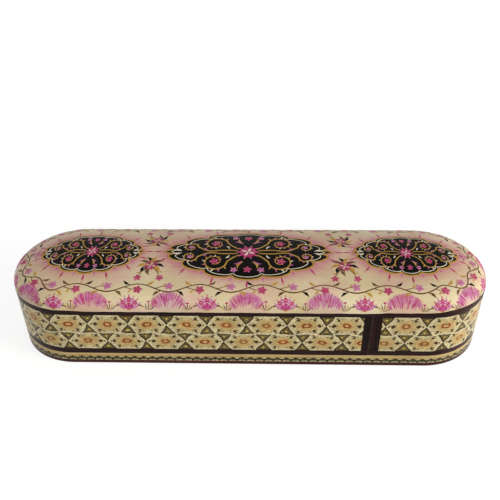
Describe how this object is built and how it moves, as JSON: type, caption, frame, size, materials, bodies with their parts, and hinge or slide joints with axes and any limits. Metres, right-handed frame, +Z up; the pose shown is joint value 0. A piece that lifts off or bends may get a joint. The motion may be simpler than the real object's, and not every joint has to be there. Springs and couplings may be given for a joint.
{
  "type": "pen box",
  "caption": "Long pen box with half-round ends, inlaid upright walls and a painted vaulted bone top; a drawer with pen and inkwell bays slides out of its right end.",
  "frame": {"origin": "on the table under the middle of the foot", "axes": "+X along the box towards the drawer's end, -Y towards the front, +Z up"},
  "size_m": [0.25, 0.068, 0.0478],
  "materials": {
    "case_wood": "satin",
    "drawer_wood": "satin",
    "dark_wood": "gloss",
    "red_wood": "gloss",
    "gold_wood": "gloss",
    "zigzag_inlay": "gloss",
    "khatam_inlay": "gloss",
    "bone": "gloss",
    "velvet": "matte"
  },
  "bodies": {
    "case": {"base_board": "case_wood", "base_edging": "red_wood", "zigzag_border": "zigzag_inlay", "gold_fillet": "gold_wood", "case_front_wall": "case_wood", "case_back_wall": "case_wood", "case_end_wall": "case_wood", "case_khatam": "khatam_inlay", "case_lower_strip": "dark_wood", "case_upper_strip": "dark_wood", "case_jambs": "dark_wood", "vault_core": "case_wood", "bone_vault": "bone"},
    "drawer": {"drawer_floor": "drawer_wood", "drawer_front_side": "drawer_wood", "drawer_back_side": "drawer_wood", "drawer_inner_end": "drawer_wood", "ink_partition": "drawer_wood", "drawer_end_block": "case_wood", "end_khatam": "khatam_inlay", "end_lower_strip": "dark_wood", "end_upper_strip": "dark_wood", "end_jambs": "dark_wood", "pen_bay_lining": "velvet", "ink_bay_lining": "velvet"}
  },
  "joints": [
    {"name": "drawer_slide", "type": "slide", "parent": "case", "child": "drawer", "axis": [1, 0, 0], "range_m": [0, 0.25]}
  ]
}
